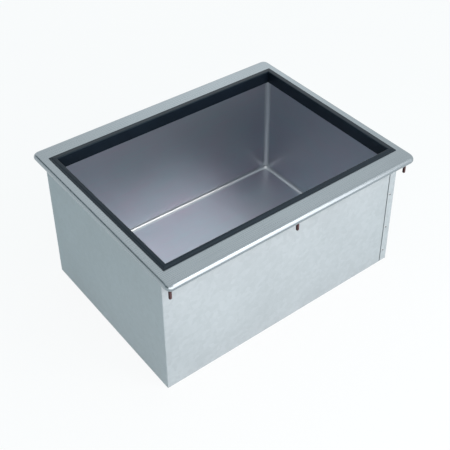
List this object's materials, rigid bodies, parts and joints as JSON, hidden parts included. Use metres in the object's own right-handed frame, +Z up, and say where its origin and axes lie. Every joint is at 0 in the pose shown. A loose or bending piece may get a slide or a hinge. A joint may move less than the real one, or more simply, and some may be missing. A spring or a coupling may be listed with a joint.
{
  "type": "drop-in ice bin",
  "caption": "Insulated rectangular ice bin with an open stainless bowl, a wide top flange that hangs in a counter cut-out, black breaker strips round the mouth and a floor drain.",
  "frame": {"origin": "centre of the underside, on which the bin stands when it isn't fitted, below the middle of its bounding box", "axes": "+X to the right along the long front side, +Y from the front to the rear, +Z up"},
  "size_m": [0.617, 0.4952, 0.3074],
  "materials": {
    "brushed_stainless": "satin stainless sheet",
    "bowl_stainless": "soft satin stainless sheet, darker inside the bowl",
    "galvanised_sheet": "galvanised sheet with a faint spangle",
    "black_abs": "moulded black plastic, slightly blue",
    "rigid_foam": "foamed-in-place rigid insulation",
    "nickel_plated_brass": "nickel-plated brass",
    "black_rubber": "black rubber",
    "fibre_washer": "red-brown vulcanised fibre",
    "copper_flashed_steel": "copper-flashed weld stud",
    "rivet_aluminium": "dull aluminium"
  },
  "bodies": {
    "bin": {"top_flange": "brushed_stainless", "breaker_strip_front": "black_abs", "breaker_strip_rear": "black_abs", "breaker_strip_left": "black_abs", "breaker_strip_right": "black_abs", "bowl_liner": "bowl_stainless", "foam_insulation": "rigid_foam", "wrap_front_left": "galvanised_sheet", "wrap_rear_right": "galvanised_sheet", "bottom_pan": "galvanised_sheet", "front_seam_rivet_1": "rivet_aluminium", "front_seam_rivet_2": "rivet_aluminium", "front_seam_rivet_3": "rivet_aluminium", "front_seam_rivet_4": "rivet_aluminium", "rear_seam_rivet_1": "rivet_aluminium", "rear_seam_rivet_2": "rivet_aluminium", "rear_seam_rivet_3": "rivet_aluminium", "rear_seam_rivet_4": "rivet_aluminium", "front_stud_left": "copper_flashed_steel", "front_stud_middle": "copper_flashed_steel", "front_stud_right": "copper_flashed_steel", "rear_stud_left": "copper_flashed_steel", "rear_stud_middle": "copper_flashed_steel", "rear_stud_right": "copper_flashed_steel", "drain_body": "nickel_plated_brass", "drain_gasket": "black_rubber", "drain_washer": "fibre_washer", "drain_locknut": "nickel_plated_brass"},
    "strainer": {"drain_strainer": "brushed_stainless"}
  },
  "joints": [
    {"name": "strainer_lift", "type": "slide", "parent": "bin", "child": "strainer", "axis": [0, 0, 1], "range_m": [0, 0.3]}
  ]
}
